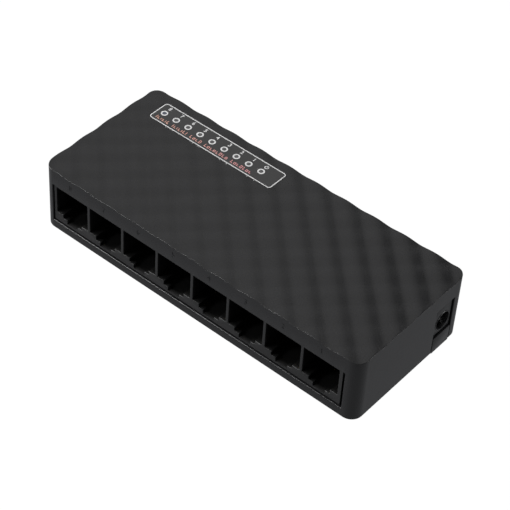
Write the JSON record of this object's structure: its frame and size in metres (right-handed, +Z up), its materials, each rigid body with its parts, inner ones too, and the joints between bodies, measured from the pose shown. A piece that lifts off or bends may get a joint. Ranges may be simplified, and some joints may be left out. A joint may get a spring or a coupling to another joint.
{
  "type": "desktop network switch",
  "caption": "Low charcoal plastic box with a wave-relief roof, a row of stepped cable sockets in front, indicator lights on top and a round power inlet at one end.",
  "frame": {"origin": "middle of the underside", "axes": "+X along the row of ports to the power inlet's end, +Y from the ports to the back, +Z up"},
  "size_m": [0.123, 0.0512, 0.0242],
  "materials": {
    "case_plastic": "fine satin texture, charcoal black",
    "jack_plastic": "satin black moulding",
    "contact_metal": "gold-flashed sprung wire",
    "steel": "plated steel",
    "board_laminate": "green solder mask over glass laminate",
    "light_lens": "diffused translucent epoxy",
    "chip_resin": "moulded resin",
    "module_resin": "moulded resin",
    "ferrite": "sintered ferrite",
    "capacitor_sleeve": "shrunk sleeve"
  },
  "bodies": {
    "switch": {"base": "case_plastic", "capacitor_input": "capacitor_sleeve", "capacitor_output": "capacitor_sleeve", "case_screw_1": "steel", "case_screw_2": "steel", "crystal": "steel", "dc_jack_body": "jack_plastic", "dc_jack_pin": "steel", "inductor": "ferrite", "input_diode": "chip_resin", "led_port_1": "light_lens", "led_port_2": "light_lens", "led_port_3": "light_lens", "led_port_4": "light_lens", "led_port_5": "light_lens", "led_port_6": "light_lens", "led_port_7": "light_lens", "led_port_8": "light_lens", "led_power": "light_lens", "main_board": "board_laminate", "regulator": "chip_resin", "rj45_housing": "jack_plastic", "switch_chip": "chip_resin", "top_cover": "case_plastic", "transformer_1": "module_resin", "transformer_2": "module_resin", "transformer_3": "module_resin", "transformer_4": "module_resin"},
    "port_1_contacts": {"port_contacts_1": "contact_metal"},
    "port_2_contacts": {"port_contacts_2": "contact_metal"},
    "port_3_contacts": {"port_contacts_3": "contact_metal"},
    "port_4_contacts": {"port_contacts_4": "contact_metal"},
    "port_5_contacts": {"port_contacts_5": "contact_metal"},
    "port_6_contacts": {"port_contacts_6": "contact_metal"},
    "port_7_contacts": {"port_contacts_7": "contact_metal"},
    "port_8_contacts": {"port_contacts_8": "contact_metal"},
    "power_leaf": {"dc_jack_leaf": "steel"}
  },
  "joints": [
    {"name": "port_1_contacts_flex", "type": "hinge", "parent": "switch", "child": "port_1_contacts", "pos_m": [0.048, -0.0224, 0.0159], "axis": [1, 0, 0], "range_deg": [0, 12], "stiffness_Nm_per_rad": 0.05},
    {"name": "port_2_contacts_flex", "type": "hinge", "parent": "switch", "child": "port_2_contacts", "pos_m": [0.034, -0.0224, 0.0159], "axis": [1, 0, 0], "range_deg": [0, 12], "stiffness_Nm_per_rad": 0.05},
    {"name": "port_3_contacts_flex", "type": "hinge", "parent": "switch", "child": "port_3_contacts", "pos_m": [0.02, -0.0224, 0.0159], "axis": [1, 0, 0], "range_deg": [0, 12], "stiffness_Nm_per_rad": 0.05},
    {"name": "port_4_contacts_flex", "type": "hinge", "parent": "switch", "child": "port_4_contacts", "pos_m": [0.006, -0.0224, 0.0159], "axis": [1, 0, 0], "range_deg": [0, 12], "stiffness_Nm_per_rad": 0.05},
    {"name": "port_5_contacts_flex", "type": "hinge", "parent": "switch", "child": "port_5_contacts", "pos_m": [-0.008, -0.0224, 0.0159], "axis": [1, 0, 0], "range_deg": [0, 12], "stiffness_Nm_per_rad": 0.05},
    {"name": "port_6_contacts_flex", "type": "hinge", "parent": "switch", "child": "port_6_contacts", "pos_m": [-0.022, -0.0224, 0.0159], "axis": [1, 0, 0], "range_deg": [0, 12], "stiffness_Nm_per_rad": 0.05},
    {"name": "port_7_contacts_flex", "type": "hinge", "parent": "switch", "child": "port_7_contacts", "pos_m": [-0.036, -0.0224, 0.0159], "axis": [1, 0, 0], "range_deg": [0, 12], "stiffness_Nm_per_rad": 0.05},
    {"name": "port_8_contacts_flex", "type": "hinge", "parent": "switch", "child": "port_8_contacts", "pos_m": [-0.05, -0.0224, 0.0159], "axis": [1, 0, 0], "range_deg": [0, 12], "stiffness_Nm_per_rad": 0.05},
    {"name": "power_leaf_flex", "type": "hinge", "parent": "switch", "child": "power_leaf", "pos_m": [0.053, 0.016, 0.0068], "axis": [0, 1, 0], "range_deg": [0, 4], "stiffness_Nm_per_rad": 0.02}
  ]
}
